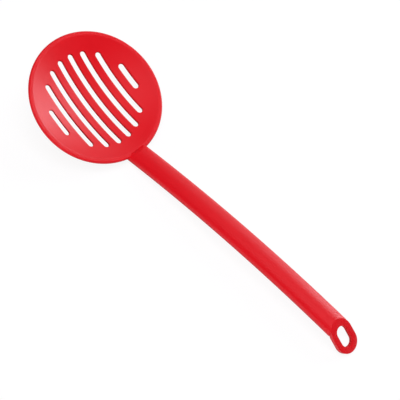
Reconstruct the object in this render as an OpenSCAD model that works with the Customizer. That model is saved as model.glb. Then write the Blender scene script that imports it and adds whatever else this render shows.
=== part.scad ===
// Slotted kitchen skimmer: a shallow round bowl with drain slots, a hollow oval
// grip in two shells that closes over the bowl's tang, and a flat hang loop.
// Lengths are in millimetres. The skimmer lies on a table, bowl up, with the
// grip along +X: it stands on the neck's flat underside and on the tip of the loop.

/* [Bowl] */
// Diameter over the rim
bowl_d = 115; // [105:1:125]
// Depth from the top of the rim to the bottom of the bowl
bowl_depth = 13.4; // [11:0.1:16]
// Thickness of the bowl
bowl_wall = 2.1; // [1.8:0.1:3]
// Width of the rim, from the bowl's inner edge to the outside
rim_w = 3.5; // [3:0.1:5]
// Thickness of the rounded rim
rim_t = 3; // [2.6:0.1:3.6]

/* [Drain slots] */
// Width of a slot
slot_w = 5.1; // [4:0.1:6.4]
// Distance between neighbouring slots
slot_pitch = 11.05; // [10:0.05:11.5]
// Radius of the circle on which the long slots' round ends are centred
slot_end_r = 39.7; // [36:0.1:42]
// Length of the two short outer slots
short_slot_len = 25; // [16:0.1:30]
// Number of long slots
long_slots = 6; // [4:2:6]

/* [Grip] */
// Width of the oval grip
grip_w = 20.2; // [19:0.1:22]
// Height that the oval grip would have if it were round all over
grip_h = 12.2; // [11.6:0.1:13.6]
// Depth of the grip's flat underside below its centre line
grip_belly = 4.6; // [4.2:0.1:5.2]
// Wall thickness of the two shells
grip_wall = 2.4; // [2.2:0.1:2.7]
// Length of the shells along the grip's curve
grip_len = 211.8; // [170:0.1:250]
// Radius of the grip's curve, seen from the side
grip_curve_r = 1068; // [800:1:1600]

/* [Neck] */
// Angle at which the grip leaves the rim, above the plane of the rim
neck_rise = 29.9; // [27:0.1:33]
// Depth of the grip's centre line below the middle of the rim
neck_drop = 2; // [1.4:0.1:2.6]
// Distance from the rim's outside to the end of the shells, along the grip
neck_reach = 0.6; // [0:0.1:2]
// Length of the root that thickens the bowl's edge under the grip
root_len = 22; // [16:0.5:28]
// Distance from the bowl's inner edge to the foot of the ramp that leads up to the grip's top
ramp_in = 0.2; // [0:0.1:0.6]
// Slope of that ramp
ramp_slope = 50; // [46:1:56]
// Length of the tang inside the grip
tang_len = 70; // [50:1:90]

/* [Hang loop] */
// Angle by which the loop is bent down from the end of the grip
loop_bend = 33; // [28:0.1:36]
// Thickness of the flat loop
loop_t = 3.4; // [2.8:0.1:4]
// Length of the loop's flat face, from its start on the grip to its tip
loop_len = 29; // [28:0.1:34]
// Width of the hang hole
hole_w = 10.5; // [8:0.1:12]
// Length of the hang hole
hole_len = 17.4; // [14:0.1:18]
// Width of the band between the hole and the loop's tip
loop_band = 5.3; // [4.5:0.1:6]
// Thickness of the loop's collar, which closes the end of the grip
collar_t = 6.3; // [4:0.1:7]
// Length of the collar's top before the flat face starts
collar_land = 2; // [0.6:0.1:2.6]
// Length of the spigot inside the grip
spigot_len = 36; // [28:1:50]

/* [Fits] */
// Clearance around the tang, the spigot and the pegs
fit_clear = 0.15; // [0.1:0.01:0.25]
// Gap between the two shells
seam_gap = 0.1; // [0.05:0.01:0.15]
// Width of the tongue along the lower shell's edge
tongue_w = 0.8; // [0.6:0.05:1]
// Height of the tongue along the lower shell's edge
tongue_h = 1; // [0.7:0.05:1.2]
// Diameter of the pegs that join the shells
peg_d = 4; // [3:0.1:5]
// Depth of the pegs' blind sockets in the upper shell
socket_depth = 1.2; // [0.8:0.1:1.4]

/* [Hidden] */
$fn = 96;
plastic_red = [0.86, 0.11, 0.14];
// Depth of the rim's flat top below the top of its round edge
lip_ease = 0.1;
// Distance by which the loop's edge lies inside the collar's
loop_ease = 0.05;
// Overlap of solids that are cut or joined
lap = 0.5;
// Facets of a full turn of the grip's long curve
sweep_fn = 720;

// Bowl, with z = 0 at the middle of the rim's thickness
rim_r = bowl_d / 2;
mouth_r = rim_r - rim_w;
lip_z = rim_t / 2 - lip_ease;
bowl_low_z = lip_z - bowl_depth;
bowl_in_r = (mouth_r * mouth_r + bowl_depth * bowl_depth) / (2 * bowl_depth);
bowl_out_r = bowl_in_r + bowl_wall;
bowl_centre_z = bowl_low_z + bowl_in_r;
slots = long_slots + 2;

// Grip: its centre line is an arc in the mirror plane, and s runs along it from the rim
arc_centre = [rim_r + grip_curve_r * sin(neck_rise), -neck_drop - grip_curve_r * cos(neck_rise)];
function slope(s) = neck_rise - s / grip_curve_r * 180 / PI;
function above(s, h) = arc_centre + (grip_curve_r + h) * [-sin(slope(s)), cos(slope(s))];
shell_start = neck_reach;
shell_end = shell_start + grip_len;
cavity_w = grip_w - 2 * grip_wall;
cavity_h = grip_h - 2 * grip_wall;
cavity_belly = grip_belly - grip_wall;
tongue_y = grip_w / 2 - grip_wall / 2;
neck_low = above(shell_start, -grip_belly);

// Tang, which runs back into the root and stays above its flat underside, and spigot
tang_start = shell_start + lap - (grip_wall + fit_clear) / tan(neck_rise);
tang_end = shell_start + tang_len;
spigot_start = shell_end - spigot_len;

// Pegs: through the tang, in the middle of the grip, and through the spigot
pegs = [shell_start + tang_len / 2, (tang_end + spigot_start) / 2, shell_end - spigot_len / 2];

// Loop: its flat face starts on top of the grip's end and slopes down
loop_s = shell_end + collar_land;
loop_start = above(loop_s, grip_h / 2);
loop_slope = slope(loop_s) - loop_bend;
loop_r = grip_w / 2 - loop_ease;
loop_wide = grip_h / 2 / sin(loop_bend);
function on_loop(u, h) =
    loop_start + u * [cos(loop_slope), sin(loop_slope)] + h * [-sin(loop_slope), cos(loop_slope)];

// Rest: the table touches the lower edge of the loop's tip and what hangs lowest, neck or bowl
loop_tip = on_loop(loop_len, -loop_t);
neck_to_tip = loop_tip - neck_low;
bowl_to_tip = loop_tip - [0, bowl_centre_z];
rest_tilt = max(atan2(neck_to_tip[1], neck_to_tip[0]),
    atan2(bowl_to_tip[1], bowl_to_tip[0]) + asin(bowl_out_r / norm(bowl_to_tip)));
function rested(p) =
    [p[0] * cos(rest_tilt) + p[1] * sin(rest_tilt), p[1] * cos(rest_tilt) - p[0] * sin(rest_tilt)];
rest_low = rested(loop_tip)[1];
rest_back = rested([-(rim_r - rim_t / 2), 0])[0] - rim_t / 2;
rest_front = rested(on_loop(loop_len, 0))[0];

module laid_down() {
    translate([-(rest_back + rest_front) / 2, 0, -rest_low]) rotate([0, rest_tilt, 0]) children();
}

// Sweeps an outline along the grip: its x is up from the centre line, its y across
module along_grip(s1, s2) {
    translate([arc_centre[0], 0, arc_centre[1]]) rotate([90, 0, 0]) rotate([0, 0, 90 + slope(s2)])
        rotate_extrude(angle = slope(s1) - slope(s2), $fn = sweep_fn)
            translate([grip_curve_r, 0]) children();
}

// Places a piece on the centre line, with x along the grip and z square to it
module at_grip(s) {
    spot = above(s, 0);
    translate([spot[0], 0, spot[1]]) rotate([0, -slope(s), 0]) children();
}

// Places a piece on the loop's flat face, with x towards the tip and z out of the face
module at_loop() {
    translate([loop_start[0], 0, loop_start[1]]) rotate([0, -loop_slope, 0]) children();
}

// Oval with a flat underside, which lies at a depth below its middle
module oval(w, h, belly) {
    intersection() {
        scale([h / 2, w / 2]) circle(r = 1);
        translate([-belly, -w]) square([belly + h, 2 * w]);
    }
}

// Outline with round ends, along x from one end's centre to the other's
module round_ended(x1, x2, w) {
    translate([x1, -w / 2]) square([x2 - x1, w]);
    for (x = [x1, x2]) translate([x, 0]) circle(d = w);
}

module bowl() {
    rotate_extrude() {
        intersection() {
            translate([0, bowl_centre_z]) difference() {
                circle(r = bowl_out_r);
                circle(r = bowl_in_r);
            }
            translate([0, lip_z - 2 * bowl_depth]) square([rim_r - rim_t / 2, 2 * bowl_depth]);
        }
        translate([rim_r - rim_t / 2, 0]) circle(d = rim_t);
    }
}

// Space under the ramp from the rim up to the grip's top for a side of 1, or over it for -1
module ramp_space(side) {
    translate([mouth_r + ramp_in, 0, lip_z]) rotate([0, 90 - ramp_slope, 0])
        translate([(side - 1) / 2 * grip_w, -grip_w, -lap]) cube([grip_w, 2 * grip_w, grip_w]);
}

// Thickens the bowl's edge under the grip, flush with the grip, fades into the bowl's underside
// and closes the corner between the rim and the grip's end, up to the ramp
module neck_root() {
    intersection() {
        along_grip(shell_start - root_len, shell_start + lap) oval(grip_w, grip_h, grip_belly);
        union() {
            difference() {
                translate([0, -grip_w, neck_low[1]]) cube([2 * rim_r, 2 * grip_w, lip_z - neck_low[1]]);
                translate([0, 0, bowl_centre_z]) sphere(r = bowl_in_r + bowl_wall / 2);
            }
            ramp_space(1);
        }
    }
}

module drain_slots() {
    for (i = [0:slots - 1]) {
        y = (i - (slots - 1) / 2) * slot_pitch;
        short = i == 0 || i == slots - 1;
        reach = short ? (short_slot_len - slot_w) / 2 : sqrt(slot_end_r * slot_end_r - y * y);
        translate([0, y, bowl_low_z - bowl_wall - lap])
            linear_extrude(bowl_depth + bowl_wall) round_ended(-reach, reach, slot_w);
    }
}

// Bar that fills the grip's cavity, with the hole for the peg at one station
module cavity_bar(s1, s2, peg) {
    difference() {
        along_grip(s1, s2)
            oval(cavity_w - 2 * fit_clear, cavity_h - 2 * fit_clear, cavity_belly - fit_clear);
        at_grip(peg) cylinder(d = peg_d + 2 * fit_clear, h = grip_h, center = true);
    }
}

module slotted_head() {
    color(plastic_red) laid_down() {
        difference() {
            union() {
                bowl();
                neck_root();
            }
            drain_slots();
            along_grip(shell_start, shell_start + grip_w)
                oval(grip_w + seam_gap, grip_h + seam_gap, grip_h);
        }
        cavity_bar(tang_start, tang_end, pegs[0]);
    }
}

module shell_wall() {
    difference() {
        oval(grip_w, grip_h, grip_belly);
        oval(cavity_w, cavity_h, cavity_belly);
    }
}

module tongues(grow) {
    for (side = [-1, 1])
        translate([-lap, side * tongue_y - tongue_w / 2 - grow])
            square([lap + tongue_h + grow, tongue_w + 2 * grow]);
}

module grip_upper_shell() {
    color(plastic_red) laid_down() difference() {
        along_grip(shell_start, shell_end) difference() {
            intersection() {
                shell_wall();
                translate([seam_gap / 2, -grip_w]) square([grip_h, 2 * grip_w]);
            }
            tongues(seam_gap);
        }
        for (s = pegs) at_grip(s)
            cylinder(d = peg_d + 2 * fit_clear, h = cavity_h / 2 + socket_depth);
        ramp_space(-1);
    }
}

module grip_lower_shell() {
    color(plastic_red) laid_down() {
        along_grip(shell_start, shell_end) {
            intersection() {
                shell_wall();
                translate([-grip_h - seam_gap / 2, -grip_w]) square([grip_h, 2 * grip_w]);
            }
            tongues(0);
        }
        for (s = pegs) at_grip(s)
            translate([0, 0, -cavity_belly - lap])
                cylinder(d = peg_d, h = lap + cavity_belly + cavity_h / 2 + socket_depth - fit_clear);
    }
}

module loop_outline() {
    translate([loop_wide, 0]) scale([loop_wide - loop_ease, loop_r]) circle(r = 1);
    translate([loop_wide, -loop_r]) square([loop_len - loop_r - loop_wide, 2 * loop_r]);
    translate([loop_len - loop_r, 0]) circle(r = loop_r);
}

module hang_loop() {
    hole_end = loop_len - loop_band - hole_w / 2;
    color(plastic_red) laid_down() {
        difference() {
            union() {
                along_grip(shell_end, shell_end + collar_t) oval(grip_w, grip_h, grip_belly);
                intersection() {
                    at_loop() translate([0, 0, -loop_t]) linear_extrude(loop_t + lap) loop_outline();
                    at_grip(shell_end) translate([0, -grip_w, -2 * grip_h])
                        cube([2 * loop_len, 2 * grip_w, 4 * grip_h]);
                }
            }
            at_loop() translate([-loop_len, -grip_w, 0]) cube([3 * loop_len, 2 * grip_w, grip_h]);
            at_loop() translate([0, 0, -grip_h])
                linear_extrude(2 * grip_h) round_ended(hole_end - hole_len + hole_w, hole_end, hole_w);
        }
        cavity_bar(spigot_start, shell_end + lap, pegs[2]);
    }
}

slotted_head();
grip_upper_shell();
grip_lower_shell();
hang_loop();
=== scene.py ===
# Looks of a red kitchen skimmer: slotted bowl, grip of two shells and hanging loop, on a white floor
import math

import bmesh
import bpy
from mathutils import Matrix, Vector


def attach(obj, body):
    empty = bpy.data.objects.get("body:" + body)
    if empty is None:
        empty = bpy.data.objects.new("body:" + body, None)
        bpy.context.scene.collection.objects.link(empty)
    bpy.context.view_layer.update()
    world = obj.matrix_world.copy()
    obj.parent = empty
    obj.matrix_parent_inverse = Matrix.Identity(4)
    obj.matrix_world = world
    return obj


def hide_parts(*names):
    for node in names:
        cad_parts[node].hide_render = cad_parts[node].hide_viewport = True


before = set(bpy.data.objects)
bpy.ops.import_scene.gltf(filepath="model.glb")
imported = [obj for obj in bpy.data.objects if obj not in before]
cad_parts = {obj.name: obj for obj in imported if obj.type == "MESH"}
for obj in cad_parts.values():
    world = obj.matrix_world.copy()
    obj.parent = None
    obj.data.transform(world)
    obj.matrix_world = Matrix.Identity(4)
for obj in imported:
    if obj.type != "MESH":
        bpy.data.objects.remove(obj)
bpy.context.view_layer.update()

# Sizes in metres and angles in radians, as the solids have them
BOWL_D = 0.115
BOWL_DEPTH = 0.0134
BOWL_WALL = 0.0021
RIM_W = 0.0035
RIM_T = 0.003
LIP_EASE = 0.0001
SLOT_W = 0.0051
SLOT_PITCH = 0.01105
SLOT_END_R = 0.0397
SHORT_SLOT_LEN = 0.025
LONG_SLOTS = 6
GRIP_W = 0.0202
GRIP_H = 0.0122
GRIP_BELLY = 0.0046
GRIP_WALL = 0.0024
GRIP_LEN = 0.2118
GRIP_CURVE_R = 1.068
NECK_RISE = math.radians(29.9)
NECK_DROP = 0.002
NECK_REACH = 0.0006
ROOT_LEN = 0.022
RAMP_IN = 0.0002
RAMP_SLOPE = math.radians(50)
TANG_LEN = 0.07
LOOP_BEND = math.radians(33)
LOOP_T = 0.0034
LOOP_LEN = 0.029
HOLE_W = 0.0105
HOLE_LEN = 0.0174
LOOP_BAND = 0.0053
LOOP_EASE = 0.00005
COLLAR_T = 0.0063
COLLAR_LAND = 0.002
SPIGOT_LEN = 0.036
FIT_CLEAR = 0.00015
SEAM_GAP = 0.0001

# Roundings and overlaps, in metres
SLOT_ROUND = 0.00005
MOUTH_ROUND = 0.0006
SHELL_ROUND = 0.00012
BELLY_ROUND = 0.0016
LOOP_ROUND = 0.0004
RAMP_ROUND = 0.0008
LAP = 0.0005

# Fineness of the meshes, and the distances at which points merge or lie in one plane
SLOT_MARGIN = 0.0011
FINE_STEP = 0.0018
BAND_STEP = 0.0036
SWEEP_STEP = 0.003
LEAST_STEPS = 2
BOWL_SIDES = 192
SLOT_SIDES = 28
OVAL_SIDES = 72
BEAD_STEPS = 20
MERGE = 1e-6
FLUSH = 1e-5

# Angles between faces that are flat, sharp, at a slot's edge or at the edges of the grip's belly
FLAT = math.radians(0.5)
SHARP = math.radians(25)
SLOT_SHARP = math.radians(50)
BELLY_LEAST = math.radians(20)
BELLY_MOST = math.radians(38)

# Walls of slots and hole: how far their normals may lean from level, and how much painted shade (a darker
# red that stands in for the shade in these recesses) and duller finish they take
SLOT_LEAN = 0.3
HOLE_LEAN = 0.5
SLOT_PAINTED_SHADE_AND_DULLNESS = 1.0
HOLE_PAINTED_SHADE_AND_DULLNESS = 0.5

# Nylon: linear colours, noise cells per metre, the mould's relief in metres, and roughness
DEEP_RED = (0.70, 0.0025, 0.008, 1)
BRIGHT_RED = (0.74, 0.004, 0.011, 1)
# Painted shade: the darker red that the walls of slots and hole take, in place of the shade that falls
# there
PAINTED_SHADE_RED = (0.55, 0.001, 0.003, 1)
CLOUD_SCALE = 45.0
RIPPLE_SCALE = 1500.0
GRAIN_SCALE = 2600.0
GRAIN_SHARE = 0.1
MOULD_RELIEF = 0.0006
MOULD_STRENGTH = 0.12
DULLNESS = 0.36
CLOUD_DULLNESS = 0.1
WALL_DULLNESS = 0.45
GLOSS = 0.55

# Floor and surroundings: sizes in metres, linear colours, strengths where 1 is white, and the heights of
# directions between which the surroundings fade
FLOOR_REACH = 4
FLOOR_GREY = (0.5, 0.5, 0.5, 1)
FLOOR_FAINT = (0.1, 0.1, 0.1, 1)
FLOOR_GLOW = 0.91
SHADE_REACH = 0.12
SHADE_SAMPLES = 8
WHITE = (1, 1, 1, 1)
AMBIENT = 0.08
FADE_START = 0.1
FADE_END = 0.22
LIGHT_COLOUR = (0.97, 0.93, 1)

# Camera: places in metres, angles in degrees, lens and sensor in millimetres
CAMERA_AIM = Vector((0.00378, 0, 0.01647))
CAMERA_AZIMUTH = -57.526
CAMERA_ELEVATION = 55.265
CAMERA_ROLL = 14.68
CAMERA_DISTANCE = 0.9867
CAMERA_LENS = 111.9
CAMERA_SENSOR = 36

# Bowl, with z = 0 at the middle of the rim's thickness; the bead turns from the lip to under the dish
RIM_R = BOWL_D / 2
MOUTH_R = RIM_R - RIM_W
BEAD_R = RIM_T / 2
LIP_Z = BEAD_R - LIP_EASE
BEAD_START = math.pi - math.asin(LIP_Z / BEAD_R)
BEAD_END = math.radians(-155)
BOWL_IN_R = (MOUTH_R ** 2 + BOWL_DEPTH ** 2) / (2 * BOWL_DEPTH)
BOWL_OUT_R = BOWL_IN_R + BOWL_WALL
BOWL_CENTRE_Z = LIP_Z - BOWL_DEPTH + BOWL_IN_R
SLOTS_REACH = SLOT_END_R + SLOT_W / 2
SHEET_R = SLOTS_REACH + 2 * SLOT_MARGIN

# Ramp from the rim up to the grip's top
RAMP_FOOT = Vector((MOUTH_R + RAMP_IN, 0, LIP_Z))
RAMP_UP = Vector((math.cos(RAMP_SLOPE), 0, math.sin(RAMP_SLOPE)))
RAMP_OUT = Vector((-math.sin(RAMP_SLOPE), 0, math.cos(RAMP_SLOPE)))

# Grip: its centre line is an arc in the mirror plane, and s runs along it from the rim
ARC_CENTRE = Vector((
    RIM_R + GRIP_CURVE_R * math.sin(NECK_RISE), 0, -NECK_DROP - GRIP_CURVE_R * math.cos(NECK_RISE)))
SHELL_START = NECK_REACH
SHELL_END = SHELL_START + GRIP_LEN
TANG_START = SHELL_START + LAP - (GRIP_WALL + FIT_CLEAR) / math.tan(NECK_RISE)


def grip_slope(s):
    return NECK_RISE - s / GRIP_CURVE_R


def at_grip(s, height=0):
    """Place on the centre line, or at a height over it, with x along the grip and z square to it"""
    slope = grip_slope(s)
    spot = ARC_CENTRE + (GRIP_CURVE_R + height) * Vector((-math.sin(slope), 0, math.cos(slope)))
    return Matrix.Translation(spot) @ Matrix.Rotation(-slope, 4, "Y")


# Loop: its flat face starts on top of the grip's end and slopes down
LOOP_S = SHELL_END + COLLAR_LAND
LOOP_SLOPE = grip_slope(LOOP_S) - LOOP_BEND
LOOP_TOP = at_grip(LOOP_S, GRIP_H / 2).translation
AT_LOOP = Matrix.Translation(LOOP_TOP) @ Matrix.Rotation(-LOOP_SLOPE, 4, "Y")
LOOP_R = GRIP_W / 2 - LOOP_EASE
LOOP_WIDE = GRIP_H / 2 / math.sin(LOOP_BEND)
HOLE_END = LOOP_LEN - LOOP_BAND - HOLE_W / 2
HOLE_START = HOLE_END - HOLE_LEN + HOLE_W

# Rest: the skimmer lies on the neck's flat underside and on the tip of the loop
NECK_LOW = at_grip(SHELL_START, -GRIP_BELLY).translation
LOOP_TIP = AT_LOOP @ Vector((LOOP_LEN, 0, -LOOP_T))
REST_TURN = Matrix.Rotation(math.atan2(LOOP_TIP.z - NECK_LOW.z, LOOP_TIP.x - NECK_LOW.x), 4, "Y")
REST_BACK = (REST_TURN @ Vector((BEAD_R - RIM_R, 0, 0))).x - BEAD_R
REST_FRONT = (REST_TURN @ AT_LOOP @ Vector((LOOP_LEN, 0, 0))).x
REST = Matrix.Translation((-(REST_BACK + REST_FRONT) / 2, 0, -(REST_TURN @ LOOP_TIP).z)) @ REST_TURN


def dish_z(point, radius):
    """Height on a sphere about the bowl's centre, over or under a point"""
    return BOWL_CENTRE_Z - math.sqrt(radius ** 2 - point.x ** 2 - point.y ** 2)


def verts_in(geom):
    return [g for g in geom if isinstance(g, bmesh.types.BMVert)]


def edges_in(geom):
    return [g for g in geom if isinstance(g, bmesh.types.BMEdge)]


def open_edges(bm):
    return [e for e in bm.edges if e.is_boundary]


def sharp_edges(bm, angle):
    return [e for e in bm.edges if e.is_manifold and e.calc_face_angle() > angle]


def in_plane(edge, place):
    """True for an edge that lies in the plane across the grip at a place on it"""
    along = place.col[0].to_3d()
    return all(abs((v.co - place.translation).dot(along)) < FLUSH for v in edge.verts)


def on_ramp(edge):
    return all(abs((v.co - RAMP_FOOT).dot(RAMP_OUT)) < FLUSH for v in edge.verts)


def on_mouth(edge):
    """True for an edge of the dish's upper face where the rim begins"""
    return all(abs(v.co.xy.length - MOUTH_R) < MERGE and v.co.z > LIP_Z - MERGE for v in edge.verts)


def in_slot(face):
    """True for a face on the wall of a drain slot"""
    return abs(face.normal.z) < SLOT_LEAN and face.calc_center_median().xy.length < SHEET_R


def in_hole(face):
    """True for a face on the wall of the loop's hole"""
    spot = AT_LOOP.inverted() @ face.calc_center_median()
    spine = max(HOLE_START, min(HOLE_END, spot.x))
    upright = abs(face.normal.dot(AT_LOOP.col[2].to_3d())) < HOLE_LEAN
    return upright and math.hypot(spot.x - spine, spot.y) < HOLE_W / 2 + MERGE


def mark_painted_shade_and_dullness(bm, is_wall, shade):
    """Marks the walls of slots or of a hole with how much painted shade (darker red) and dullness they get
    """
    layer = bm.faces.layers.float.new("wall")
    for face in bm.faces:
        face[layer] = shade * is_wall(face)


def round_edges(bm, edges, width, segments):
    """Rounds edges, and takes out the empty faces that this leaves at corners"""
    bmesh.ops.bevel(bm, geom=edges, offset=width, offset_type="OFFSET", affect="EDGES",
                    segments=segments, profile=0.5, material=-1, clamp_overlap=True)
    bmesh.ops.dissolve_degenerate(bm, edges=bm.edges, dist=MERGE)


def cut_off(bm, spot, outward):
    """Takes away what lies beyond a plane, and gives the edges that this leaves open"""
    bmesh.ops.bisect_plane(bm, geom=bm.verts[:] + bm.edges[:] + bm.faces[:], dist=MERGE,
                           plane_co=spot, plane_no=outward, clear_outer=True)
    return open_edges(bm)


def slice_off(bm, spot, outward):
    """Takes away what lies beyond a plane and closes the cut"""
    bmesh.ops.holes_fill(bm, edges=cut_off(bm, spot, outward))


def close_up(bm):
    bmesh.ops.remove_doubles(bm, verts=bm.verts, dist=MERGE)
    bmesh.ops.recalc_face_normals(bm, faces=bm.faces)


def as_mesh(bm, name):
    """The shape as a mesh; its bmesh is used up"""
    mesh = bpy.data.meshes.new(name)
    bm.to_mesh(mesh)
    bm.free()
    return mesh


def add_object(name, data):
    made = bpy.data.objects.new(name, data)
    bpy.context.scene.collection.objects.link(made)
    return made


def joined(shapes):
    """Several shapes in one bmesh"""
    whole = bmesh.new()
    for shape in shapes:
        mesh = as_mesh(shape, "shape")
        whole.from_mesh(mesh)
        bpy.data.meshes.remove(mesh)
    return whole


def in_order(bm):
    """The same shape as a new bmesh, with its points and faces in an order that is the same each run"""
    corners = sorted(bm.verts, key=lambda v: v.co.yxz[:])
    number = {v: i for i, v in enumerate(corners)}
    rings = []
    for face in bm.faces:
        ring = [number[v] for v in face.verts]
        first = ring.index(min(ring))
        rings.append(ring[first:] + ring[:first])
    ordered = bmesh.new()
    verts = [ordered.verts.new(v.co) for v in corners]
    for ring in sorted(rings):
        ordered.faces.new([verts[i] for i in ring])
    bm.free()
    return ordered


def combined(bm, other, operation):
    """The first shape fused with the second or cut by it, as a new bmesh"""
    made = [add_object("shape", as_mesh(shape, "shape")) for shape in (bm, other)]
    boolean = made[0].modifiers.new("boolean", "BOOLEAN")
    boolean.operation = operation
    boolean.solver = "EXACT"
    boolean.object = made[1]
    result = bmesh.new()
    result.from_object(made[0], bpy.context.evaluated_depsgraph_get())
    for spent in made:
        bpy.data.meshes.remove(spent.data)
    return in_order(result)


def stadium(bm, x1, x2, y, width, sides):
    """Outline with round ends, along x from one end's centre to the other's; gives its edges"""
    half_step = Matrix.Rotation(math.pi / sides, 4, "Z")
    verts = bmesh.ops.create_circle(bm, segments=sides, radius=width / 2, matrix=half_step)["verts"]
    left = [v for v in verts if v.co.x < 0]
    right = [v for v in verts if v.co.x > 0]
    straight = [e for v in left for e in v.link_edges if e.other_vert(v) in right]
    bmesh.ops.translate(bm, verts=left, vec=(x1, y, 0))
    bmesh.ops.translate(bm, verts=right, vec=(x2, y, 0))
    bmesh.ops.subdivide_edges(bm, edges=straight, cuts=int((x2 - x1) / FINE_STEP))
    return [e for e in bm.edges if e.is_wire]


def slot_rows():
    """The slots' places across the bowl and how far their ends' centres reach"""
    slots = LONG_SLOTS + 2
    for i in range(slots):
        y = (i - (slots - 1) / 2) * SLOT_PITCH
        short = i in (0, slots - 1)
        yield y, (SHORT_SLOT_LEN - SLOT_W) / 2 if short else math.sqrt(SLOT_END_R ** 2 - y ** 2)


def widen(bm, edges, radius, z):
    """Extrudes a ring of edges to another radius about the bowl's axis; gives the new edges"""
    grown = bmesh.ops.extrude_edge_only(bm, edges=edges)["geom"]
    for v in verts_in(grown):
        v.co = Vector((v.co.x, v.co.y, 0)).normalized() * radius + Vector((0, 0, z))
    return edges_in(grown)


def slotted_sheet():
    """Flat round sheet as wide as the mouth, with a narrow band of faces about each slot"""
    bm = bmesh.new()
    sheet_edges = []
    for y, reach in slot_rows():
        inner = stadium(bm, -reach, reach, y, SLOT_W, SLOT_SIDES)
        grown = bmesh.ops.extrude_edge_only(bm, edges=inner)["geom"]
        for v in verts_in(grown):
            spine = Vector((max(-reach, min(reach, v.co.x)), y, 0))
            v.co += (v.co - spine).normalized() * SLOT_MARGIN
        sheet_edges += edges_in(grown)
    bmesh.ops.create_circle(bm, segments=BOWL_SIDES, radius=SHEET_R)
    ring_edges = [e for e in bm.edges if e.is_wire]
    bmesh.ops.triangle_fill(bm, use_beauty=True, edges=sheet_edges + ring_edges)
    bands = math.ceil((MOUTH_R - SHEET_R) / BAND_STEP)
    for i in range(bands):
        ring_edges = widen(bm, ring_edges, SHEET_R + (MOUTH_R - SHEET_R) * (i + 1) / bands, 0)
    bmesh.ops.recalc_face_normals(bm, faces=bm.faces)
    return bm


def add_rim(bm):
    """Leads the dish's upper edge over the lip and round the bead to its lower edge"""
    rim = open_edges(bm)
    ring_edges = [e for e in rim if e.verts[0].co.z > LIP_Z - MERGE]
    under = [e for e in rim if e.verts[0].co.z < LIP_Z - MERGE]
    bead_x = RIM_R - BEAD_R
    for i in range(BEAD_STEPS + 1):
        turn = BEAD_START + (BEAD_END - BEAD_START) * i / BEAD_STEPS
        radius = bead_x + BEAD_R * math.cos(turn)
        ring_edges = widen(bm, ring_edges, radius, BEAD_R * math.sin(turn))
    bmesh.ops.bridge_loops(bm, edges=ring_edges + under)
    bmesh.ops.recalc_face_normals(bm, faces=bm.faces)


def bowl():
    """The slotted dish with its rounded rim"""
    bm = slotted_sheet()
    upper = bm.verts[:]
    lower = bmesh.ops.extrude_face_region(bm, geom=bm.faces[:], use_keep_orig=True)["geom"]
    for v in upper:
        v.co.z = dish_z(v.co, BOWL_IN_R)
    for v in verts_in(lower):
        v.co.z = dish_z(v.co, BOWL_OUT_R)
    wall = [f for f in bm.faces if all(v.co.xy.length > MOUTH_R - MERGE for v in f.verts)]
    bmesh.ops.delete(bm, geom=wall, context="FACES")
    bmesh.ops.recalc_face_normals(bm, faces=bm.faces)
    round_edges(bm, sharp_edges(bm, SLOT_SHARP), SLOT_ROUND, segments=3)
    add_rim(bm)
    round_edges(bm, [e for e in bm.edges if on_mouth(e)], MOUTH_ROUND, segments=3)
    # Painted shade and dullness on the slots' walls
    mark_painted_shade_and_dullness(bm, in_slot, SLOT_PAINTED_SHADE_AND_DULLNESS)
    return bm


def oval(bm, width, height, belly):
    """Oval outline with a flat underside across the grip, as one face; gives its edges"""
    upright = Matrix(((0, 0, 1, 0), (0, width / 2, 0, 0), (height / 2, 0, 0, 0), (0, 0, 0, 1)))
    circle = bmesh.ops.create_circle(bm, cap_ends=True, segments=OVAL_SIDES, radius=1, matrix=upright)
    verts = circle["verts"]
    edges = dict.fromkeys(e for v in verts for e in v.link_edges)
    faces = dict.fromkeys(f for v in verts for f in v.link_faces)
    cut = bmesh.ops.bisect_plane(bm, geom=[*verts, *edges, *faces], dist=MERGE,
                                 plane_co=(0, 0, -belly), plane_no=(0, 0, -1), clear_outer=True)
    return [e for e in edges_in(cut["geom"]) if e.is_valid]


def swept(bm, s1, s2):
    """Sweeps the faces in a bmesh along the grip's curve and closes both ends"""
    bmesh.ops.transform(bm, matrix=at_grip(s1), verts=bm.verts)
    section = bm.verts[:] + bm.edges[:] + bm.faces[:]
    bmesh.ops.duplicate(bm, geom=section)
    bmesh.ops.spin(bm, geom=section, cent=ARC_CENTRE, axis=(0, 1, 0),
                   angle=(s2 - s1) / GRIP_CURVE_R,
                   steps=max(LEAST_STEPS, round((s2 - s1) / SWEEP_STEP)), use_merge=False)
    close_up(bm)
    return bm


def oval_bar(s1, s2, inset=0):
    """Solid bar with the grip's outline, or an outline that lies inside it by an inset"""
    bm = bmesh.new()
    oval(bm, GRIP_W - 2 * inset, GRIP_H - 2 * inset, GRIP_BELLY - inset)
    return swept(bm, s1, s2)


def cavity_bar(s1, s2):
    """Bar that fills the grip's hollow, with clearance"""
    bm = oval_bar(s1, s2, GRIP_WALL + FIT_CLEAR)
    round_edges(bm, sharp_edges(bm, SHARP), SHELL_ROUND, segments=2)
    return bm


def neck_root():
    """Thickens the bowl's edge under the grip and stays below the dish"""
    bm = oval_bar(SHELL_START - ROOT_LEN, SHELL_START)
    slice_off(bm, (0, 0, NECK_LOW.z), (0, 0, -1))
    slice_off(bm, (SLOTS_REACH, 0, 0), (-1, 0, 0))
    for v in bm.verts:
        v.co.z = min(v.co.z, LIP_Z, dish_z(v.co, BOWL_IN_R + BOWL_WALL / 2))
    close_up(bm)
    return bm


def neck_ramp():
    """Closes the corner between the rim and the grip's end, up to the ramp"""
    bm = oval_bar(SHELL_START - ROOT_LEN, SHELL_START)
    slice_off(bm, RAMP_FOOT, RAMP_OUT)
    slice_off(bm, RAMP_FOOT - LAP * RAMP_UP, -RAMP_UP)
    close_up(bm)
    return bm


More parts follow.
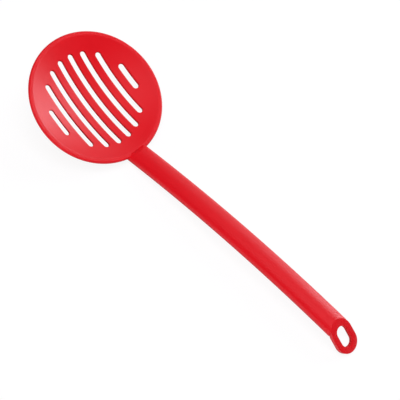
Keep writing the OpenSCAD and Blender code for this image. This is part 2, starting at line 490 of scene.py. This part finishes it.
def neck():
    """Root and ramp fused, without the spare points that this leaves on straight edges"""
    bm = combined(neck_root(), neck_ramp(), "UNION")
    close_up(bm)
    bmesh.ops.dissolve_verts(bm, verts=[v for v in bm.verts if len(v.link_edges) == 2])
    return bm


def grip_shell(side):
    """Upper shell for a side of 1, lower shell for -1"""
    bm = bmesh.new()
    edges = oval(bm, GRIP_W, GRIP_H, GRIP_BELLY)
    edges += oval(bm, GRIP_W - 2 * GRIP_WALL, GRIP_H - 2 * GRIP_WALL, GRIP_BELLY - GRIP_WALL)
    bmesh.ops.delete(bm, geom=bm.faces[:], context="FACES_ONLY")
    bmesh.ops.bridge_loops(bm, edges=edges)
    cut_off(bm, (0, 0, side * SEAM_GAP / 2), (0, 0, -side))
    swept(bm, SHELL_START, SHELL_END)
    ends = at_grip(SHELL_START), at_grip(SHELL_END)
    if side > 0:
        slice_off(bm, RAMP_FOOT, RAMP_OUT)
        bmesh.ops.recalc_face_normals(bm, faces=bm.faces)
        brow = [e for e in bm.edges if on_ramp(e) and not in_plane(e, ends[0])]
        round_edges(bm, brow, RAMP_ROUND, segments=4)
    belly = [e for e in sharp_edges(bm, BELLY_LEAST) if e.calc_face_angle() < BELLY_MOST]
    round_edges(bm, belly, BELLY_ROUND, segments=4)
    seams = [e for e in sharp_edges(bm, SHARP) if not any(in_plane(e, end) for end in ends)]
    seams = [e for e in seams if not on_ramp(e)]
    round_edges(bm, seams, SHELL_ROUND, segments=2)
    return bm


def prism(bm, low, high):
    """Extrudes the outline in a bmesh from one height to another over the loop's flat face"""
    bmesh.ops.edgeloop_fill(bm, edges=bm.edges)
    bmesh.ops.translate(bm, verts=bm.verts, vec=(0, 0, low))
    raised = bmesh.ops.extrude_face_region(bm, geom=bm.faces[:], use_keep_orig=True)["geom"]
    bmesh.ops.translate(bm, verts=verts_in(raised), vec=(0, 0, high - low))
    bmesh.ops.transform(bm, matrix=AT_LOOP, verts=bm.verts)
    close_up(bm)
    return bm


def loop_plate():
    """Flat loop: an oval that follows the sliced grip, straight sides and a round tip"""
    bm = bmesh.new()
    half_step = Matrix.Rotation(math.pi / OVAL_SIDES, 4, "Z")
    verts = bmesh.ops.create_circle(bm, segments=OVAL_SIDES, radius=1, matrix=half_step)["verts"]
    back = [v for v in verts if v.co.x < 0]
    front = [v for v in verts if v.co.x > 0]
    bmesh.ops.scale(bm, verts=back, vec=(LOOP_WIDE - LOOP_EASE, LOOP_R, 1))
    bmesh.ops.scale(bm, verts=front, vec=(LOOP_R, LOOP_R, 1))
    bmesh.ops.translate(bm, verts=back, vec=(LOOP_WIDE, 0, 0))
    bmesh.ops.translate(bm, verts=front, vec=(LOOP_LEN - LOOP_R, 0, 0))
    prism(bm, -LOOP_T, LOOP_T)
    seat = at_grip(SHELL_END)
    slice_off(bm, seat.translation, -seat.col[0].to_3d())
    close_up(bm)
    return bm


def hang_loop():
    """Collar that closes the grip, and the flat loop with its hole"""
    bm = combined(oval_bar(SHELL_END, SHELL_END + COLLAR_T), loop_plate(), "UNION")
    hole = bmesh.new()
    stadium(hole, HOLE_START, HOLE_END, 0, HOLE_W, OVAL_SIDES)
    bm = combined(bm, prism(hole, -GRIP_H, GRIP_H), "DIFFERENCE")
    flat_face = cut_off(bm, AT_LOOP.translation, AT_LOOP.col[2].to_3d())
    bmesh.ops.triangle_fill(bm, use_beauty=True, edges=flat_face)
    close_up(bm)
    bmesh.ops.dissolve_limit(bm, angle_limit=FLAT, verts=bm.verts, edges=bm.edges)
    seat = at_grip(SHELL_END)
    outer = [e for e in sharp_edges(bm, SHARP) if not in_plane(e, seat)]
    round_edges(bm, outer, LOOP_ROUND, segments=3)
    # Painted shade and dullness on the hole's walls
    mark_painted_shade_and_dullness(bm, in_hole, HOLE_PAINTED_SHADE_AND_DULLNESS)
    return bm


def piece(name, node, bm, material):
    """Lays a shape down on the table as the piece that stands for a solid"""
    bmesh.ops.transform(bm, matrix=REST, verts=bm.verts)
    mesh = as_mesh(bm, name)
    mesh.shade_smooth()
    mesh.set_sharp_from_angle(angle=SHARP)
    mesh.materials.append(material)
    made = add_object(name, mesh)
    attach(made, "root")
    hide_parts(node)


class Socket:
    """A node's output, with the operators that add Math nodes"""

    def __init__(self, tree, output):
        self.tree = tree
        self.output = output

    def math(self, operation, *others):
        values = dict(enumerate([self, *others]))
        return self.tree.add("ShaderNodeMath", {"operation": operation}, values)

    def __add__(self, other):
        return self.math("ADD", other)

    def __mul__(self, other):
        return self.math("MULTIPLY", other)

    __radd__ = __add__
    __rmul__ = __mul__


class Tree:
    """A node tree, and the one way to add a node to it"""

    def __init__(self, owner):
        owner.use_nodes = True
        self.nodes = owner.node_tree.nodes
        self.links = owner.node_tree.links
        self.nodes.clear()

    def add(self, kind, settings=None, sockets=None, output=0):
        node = self.nodes.new(kind)
        for name, value in (settings or {}).items():
            setattr(node, name, value)
        for name, value in (sockets or {}).items():
            if isinstance(value, Socket):
                self.links.new(value.output, node.inputs[name])
            else:
                node.inputs[name].default_value = value
        return Socket(self, node.outputs[output]) if node.outputs else None


def red_nylon():
    """Satin moulded nylon: the mould's faint ripple and fine grain, slightly cloudy, duller and darkened
    with painted shade on the walls of slots and hole
    """
    material = bpy.data.materials.new("red_nylon")
    tree = Tree(material)
    place = tree.add("ShaderNodeTexCoord", output="Object")
    # How much painted shade and dullness a face takes, from its attribute
    wall = tree.add("ShaderNodeAttribute", {"attribute_name": "wall"}, output="Fac")
    cloud = tree.add("ShaderNodeTexNoise", None, {"Vector": place, "Scale": CLOUD_SCALE, "Detail": 3.0})
    ripple = tree.add("ShaderNodeTexNoise", None, {"Vector": place, "Scale": RIPPLE_SCALE, "Detail": 1.0})
    grain = tree.add("ShaderNodeTexNoise", None, {"Vector": place, "Scale": GRAIN_SCALE, "Detail": 2.0})
    colour = tree.add("ShaderNodeMix", {"data_type": "RGBA"}, {
        "Factor": cloud, "A": DEEP_RED, "B": BRIGHT_RED}, output=2)
    # Painted shade: the walls of slots and hole are mixed towards a darker red
    colour = tree.add("ShaderNodeMix", {"data_type": "RGBA"}, {
        "Factor": wall, "A": colour, "B": PAINTED_SHADE_RED}, output=2)
    relief = tree.add("ShaderNodeBump", None, {
        "Height": ripple + GRAIN_SHARE * grain, "Strength": MOULD_STRENGTH, "Distance": MOULD_RELIEF})
    shader = tree.add("ShaderNodeBsdfPrincipled", None, {
        "Base Color": colour,
        "Roughness": DULLNESS + CLOUD_DULLNESS * cloud + WALL_DULLNESS * wall,
        "Specular IOR Level": GLOSS,
        "Normal": relief})
    tree.add("ShaderNodeOutputMaterial", None, {"Surface": shader})
    return material


def sight_rays(tree):
    """Marks of the camera, glossy and transmission rays, which see the ground as white"""
    names = "Is Camera Ray", "Is Glossy Ray", "Is Transmission Ray"
    return [tree.add("ShaderNodeLightPath", output=name) for name in names]


def white_floor():
    """Grey floor that the camera and reflections see as white, with the object's soft shadow"""
    material = bpy.data.materials.new("white_floor")
    tree = Tree(material)
    camera_ray, glossy_ray, clear_ray = sight_rays(tree)
    open_sky = tree.add("ShaderNodeAmbientOcclusion", {"samples": SHADE_SAMPLES}, {
        "Distance": SHADE_REACH}, output="AO")
    seen = (camera_ray + (glossy_ray + clear_ray) * open_sky).math("MINIMUM", 1.0)
    matt = tree.add("ShaderNodeBsdfDiffuse", None, {"Color": FLOOR_GREY})
    faint = tree.add("ShaderNodeBsdfDiffuse", None, {"Color": FLOOR_FAINT})
    glow = tree.add("ShaderNodeEmission", None, {"Color": WHITE, "Strength": FLOOR_GLOW})
    lifted = tree.add("ShaderNodeAddShader", None, {0: faint, 1: glow})
    mixed = tree.add("ShaderNodeMixShader", None, {"Fac": seen, 1: matt, 2: lifted})
    tree.add("ShaderNodeOutputMaterial", None, {"Surface": mixed})
    return material


def floor():
    bm = bmesh.new()
    bmesh.ops.create_grid(bm, x_segments=1, y_segments=1, size=FLOOR_REACH)
    mesh = as_mesh(bm, "floor")
    mesh.materials.append(white_floor())
    add_object("floor", mesh)


def direction(azimuth, elevation):
    """Unit vector from the table, with azimuth turned from +X towards +Y"""
    a = math.radians(azimuth)
    e = math.radians(elevation)
    return Vector((math.cos(a) * math.cos(e), math.sin(a) * math.cos(e), math.sin(e)))


def softbox(name, azimuth, elevation, distance, width, height, radiance, mirrored):
    """Soft rectangular light that faces the table, and may show in reflections"""
    data = bpy.data.lights.new(name, "AREA")
    data.shape = "RECTANGLE"
    data.size = width
    data.size_y = height
    data.energy = radiance * width * height * math.pi
    data.color = LIGHT_COLOUR
    back = direction(azimuth, elevation)
    lamp = add_object(name, data)
    lamp.location = back * distance
    lamp.rotation_euler = back.to_track_quat("Z", "Y").to_euler()
    lamp.visible_glossy = mirrored


def surroundings():
    """Dim all round, and white near the horizon where the camera and reflections look"""
    world = bpy.data.worlds.new("studio")
    tree = Tree(world)
    camera_ray, glossy_ray, clear_ray = sight_rays(tree)
    seen = (camera_ray + glossy_ray + clear_ray).math("MINIMUM", 1.0)
    way = tree.add("ShaderNodeTexCoord", output="Generated")
    height = tree.add("ShaderNodeSeparateXYZ", None, {"Vector": way}, output="Z")
    low = tree.add("ShaderNodeMapRange", None, {
        "Value": height, "From Min": FADE_END, "From Max": FADE_START, "To Min": 0.0, "To Max": 1.0})
    ground = tree.add("ShaderNodeBackground", None, {
        "Color": WHITE, "Strength": AMBIENT + (1 - AMBIENT) * (seen * low)})
    tree.add("ShaderNodeOutputWorld", None, {"Surface": ground})
    bpy.context.scene.world = world


def lights():
    """Two soft lights behind the skimmer, one over it and one low in front of it"""
    softbox("back_light", azimuth=82, elevation=24, distance=1.6, width=0.75, height=1.2,
            radiance=5.0, mirrored=True)
    softbox("wing_light", azimuth=118, elevation=40, distance=1.6, width=0.7, height=0.9,
            radiance=0.9, mirrored=True)
    softbox("top_light", azimuth=-75, elevation=86, distance=1.7, width=1.2, height=1.2,
            radiance=4.7, mirrored=False)
    softbox("low_light", azimuth=-70, elevation=12, distance=1.7, width=1.6, height=0.6,
            radiance=4.9, mirrored=False)


def camera():
    """Long lens from above, over the loop's end, with the bowl at the upper left"""
    data = bpy.data.cameras.new("camera")
    data.sensor_width = CAMERA_SENSOR
    data.lens = CAMERA_LENS
    back = direction(CAMERA_AZIMUTH, CAMERA_ELEVATION)
    roll = Matrix.Rotation(math.radians(CAMERA_ROLL), 4, "Z")
    turn = back.to_track_quat("Z", "Y").to_matrix().to_4x4() @ roll
    made = add_object("camera", data)
    made.matrix_world = Matrix.Translation(CAMERA_AIM + back * CAMERA_DISTANCE) @ turn
    bpy.context.scene.camera = made


# Studio
bpy.context.scene.view_settings.view_transform = "Standard"
camera()
surroundings()
lights()
floor()

# Pieces
red = red_nylon()
tang = cavity_bar(TANG_START, SHELL_START + TANG_LEN)
spigot = cavity_bar(SHELL_END - SPIGOT_LEN, SHELL_END + COLLAR_LAND)
piece("skimmer_head", "slotted_head", joined([bowl(), neck(), tang]), red)
piece("upper_shell", "grip_upper_shell", grip_shell(1), red)
piece("lower_shell", "grip_lower_shell", grip_shell(-1), red)
piece("hanging_loop", "hang_loop", joined([hang_loop(), spigot]), red)
